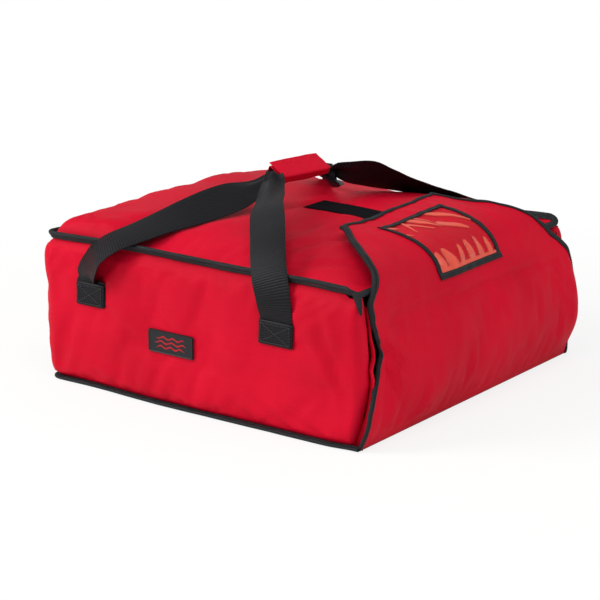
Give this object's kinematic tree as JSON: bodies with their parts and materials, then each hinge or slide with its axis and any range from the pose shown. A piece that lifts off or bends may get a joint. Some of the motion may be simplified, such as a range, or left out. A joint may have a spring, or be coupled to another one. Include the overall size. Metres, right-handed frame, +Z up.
{
  "type": "insulated pizza delivery bag",
  "caption": "Padded fabric box open at one end, with a closure flap that folds over the top, a clear document window, webbing handles and a wrapped grip.",
  "frame": {"origin": "centre of the box's underside on the surface it stands on, midway between the two long walls and midway along the box without its flap", "axes": "+X runs along the front wall to the mouth and its flap, +Y from the front wall with the label plate to the back wall, +Z up"},
  "size_m": [0.5361, 0.5499, 0.286],
  "materials": {
    "red_nylon": "matte coated plain weave",
    "insulation_foam": "matte foam batt",
    "black_liner": "satin coated lining",
    "binding_tape": "matte woven tape",
    "webbing": "matte ribbed webbing",
    "loop_fastener": "matte loop pile",
    "hook_fastener": "matte hook tape",
    "clear_sheet": "clear glossy soft vinyl",
    "label_rubber": "matte moulded soft plastic"
  },
  "bodies": {
    "shell": {"back_insulation": "insulation_foam", "bottom_binding": "binding_tape", "bottom_insulation": "insulation_foam", "bottom_liner": "black_liner", "bottom_outer_panel": "red_nylon", "end_insulation": "insulation_foam", "front_insulation": "insulation_foam", "handle_patch_back_left": "webbing", "handle_patch_back_right": "webbing", "handle_patch_front_left": "webbing", "handle_patch_front_right": "webbing", "label_plate": "label_rubber", "left_handle_webbing": "webbing", "loop_strip": "loop_fastener", "mouth_hem_back": "red_nylon", "mouth_hem_front": "red_nylon", "right_handle_webbing": "webbing", "side_band_liner": "black_liner", "side_band_outer": "red_nylon", "top_binding": "binding_tape", "top_insulation": "insulation_foam", "top_liner": "black_liner", "top_outer_panel": "red_nylon"},
    "mouth_flap": {"flap_lower_outer": "red_nylon", "flap_lower_insulation": "insulation_foam", "flap_lower_liner": "black_liner", "flap_lower_binding_front": "binding_tape", "flap_lower_binding_back": "binding_tape"},
    "flap_top": {"flap_upper_outer": "red_nylon", "flap_upper_insulation": "insulation_foam", "flap_upper_liner": "black_liner", "flap_upper_binding": "binding_tape", "document_window": "clear_sheet", "window_binding_front": "binding_tape", "window_binding_back": "binding_tape", "window_binding_top": "binding_tape", "window_binding_bottom": "binding_tape", "hook_strip": "hook_fastener"},
    "grip": {"grip_wrap": "red_nylon", "grip_padding": "insulation_foam", "grip_loop_pad": "loop_fastener"},
    "grip_closure": {"grip_flap": "red_nylon", "grip_hook_pad": "hook_fastener"}
  },
  "joints": [
    {"name": "mouth_flap_hinge", "type": "hinge", "parent": "shell", "child": "mouth_flap", "pos_m": [0.257, 0, 0], "axis": [0, 1, 0], "range_deg": [0, 68]},
    {"name": "flap_top_hinge", "type": "hinge", "parent": "mouth_flap", "child": "flap_top", "pos_m": [0.26041, 0, 0.165], "axis": [0, 1, 0], "range_deg": [0, 95]},
    {"name": "grip_lift", "type": "slide", "parent": "shell", "child": "grip", "axis": [0, 0, 1], "range_m": [0, 0.05], "deforming": ["left_handle_webbing", "right_handle_webbing"]},
    {"name": "grip_wrap_hinge", "type": "hinge", "parent": "grip", "child": "grip_closure", "pos_m": [-0.0101, -0.00162, 0.25504], "axis": [0.1908, 0.9816, 0], "range_deg": [0, 150]}
  ]
}
